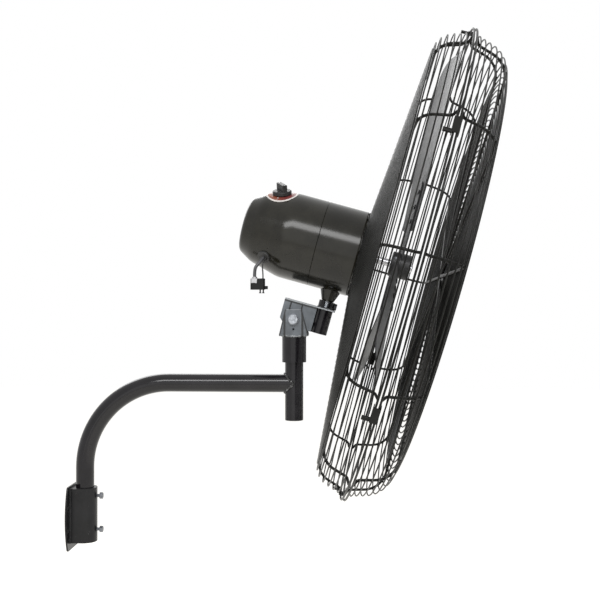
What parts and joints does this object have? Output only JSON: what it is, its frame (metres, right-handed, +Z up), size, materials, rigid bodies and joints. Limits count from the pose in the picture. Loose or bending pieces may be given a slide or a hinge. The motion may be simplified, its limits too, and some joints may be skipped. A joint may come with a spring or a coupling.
{
  "type": "wall mounted fan",
  "caption": "Wall mounted fan: a bent tube arm on a wall bracket carries a tilting, swivelling motor head with guarded blades and a speed knob.",
  "frame": {"origin": "centre of the wall plate's back face, which lies on the wall", "axes": "+X out of the wall, +Z up, -Y is the side with the lead and the dial"},
  "size_m": [0.7486, 0.8254, 0.8964],
  "materials": {
    "bracket_paint": "semi-gloss black paint",
    "arm_paint": "gloss black powder coat",
    "fork_paint": "mid grey paint over folded steel",
    "housing_paint": "gloss black enamel",
    "guard_paint": "black powder coated wire",
    "zinc": "bright zinc plate",
    "bearing_steel": "ground steel",
    "lamination": "bare laminated steel",
    "copper": "varnished copper wire",
    "cast_aluminium": "as-cast aluminium",
    "blade_aluminium": "dark coated aluminium sheet",
    "capacitor_plastic": "white plastic case",
    "dial_red": "printed red plate with white ring",
    "black_plastic": "moulded black plastic",
    "black_rubber": "black rubber",
    "lead_grey": "grey lead sheath"
  },
  "bodies": {
    "wall_mount": {"wall_plate": "bracket_paint", "wall_sleeve": "bracket_paint", "clamp_screws": "zinc", "arm_tube": "arm_paint", "post_tube": "arm_paint", "weld_bead": "arm_paint"},
    "swivel_base": {"swivel_sleeve": "arm_paint", "sleeve_lock_screw": "zinc", "tilt_fork": "fork_paint", "tilt_bolt": "zinc", "tilt_washers": "zinc", "tilt_nut": "zinc"},
    "tilt_frame": {"tilt_yoke": "fork_paint", "socket_tube": "arm_paint", "socket_lock_screw": "arm_paint"},
    "fan_head": {"neck_stud": "zinc", "neck_boss": "housing_paint", "front_shell": "housing_paint", "rear_shell": "housing_paint", "end_shield": "cast_aluminium", "motor_bolts": "housing_paint", "stator_core": "lamination", "windings": "copper", "front_bearing": "bearing_steel", "rear_bearing": "bearing_steel", "run_capacitor": "capacitor_plastic", "dial_plate": "dial_red", "speed_switch": "black_plastic", "cable_grommet": "black_rubber", "power_lead": "lead_grey", "thin_wire": "black_rubber", "lead_connector": "black_plastic", "connector_screws": "zinc", "guard_mount_ring": "guard_paint", "guard_mount_screws": "guard_paint", "rear_guard_ribs": "guard_paint", "rear_guard_inner_rings": "guard_paint", "rear_guard_outer_rings": "guard_paint", "rear_guard_side_rings": "guard_paint", "rear_rim_ring": "guard_paint", "front_guard_ribs": "guard_paint", "front_guard_inner_rings": "guard_paint", "front_guard_outer_rings": "guard_paint", "front_guard_side_rings": "guard_paint", "front_rim_ring": "guard_paint", "centre_disc": "guard_paint", "rim_clips": "guard_paint"},
    "fan": {"motor_shaft": "bearing_steel", "rotor": "lamination", "blade_hub": "cast_aluminium", "hub_screw": "zinc", "blade_rivets": "zinc", "blade_1": "blade_aluminium", "blade_2": "blade_aluminium", "blade_3": "blade_aluminium"},
    "knob": {"switch_spindle": "bearing_steel", "speed_knob": "black_plastic"}
  },
  "joints": [
    {"name": "post_swivel", "type": "hinge", "parent": "wall_mount", "child": "swivel_base", "pos_m": [0.3948, 0, 0.297], "axis": [0, 0, 1], "range_deg": [-45, 45]},
    {"name": "head_tilt", "type": "hinge", "parent": "swivel_base", "child": "tilt_frame", "pos_m": [0.3948, 0, 0.3488], "axis": [0, -1, 0], "range_deg": [-8, 40]},
    {"name": "head_swivel", "type": "hinge", "parent": "tilt_frame", "child": "fan_head", "pos_m": [0.44561, 0, 0.35391], "axis": [0.2672, 0, 0.9636], "range_deg": [-40, 40]},
    {"name": "fan_spin", "type": "hinge", "parent": "fan_head", "child": "fan", "pos_m": [0.58831, 0, 0.43886], "axis": [0.9636, 0, -0.2672], "continuous": true},
    {"name": "speed_selector", "type": "hinge", "parent": "fan_head", "child": "knob", "pos_m": [0.37562, -0.02434, 0.56365], "axis": [-0.0096, -0.346, 0.9382], "range_deg": [0, 135]}
  ]
}
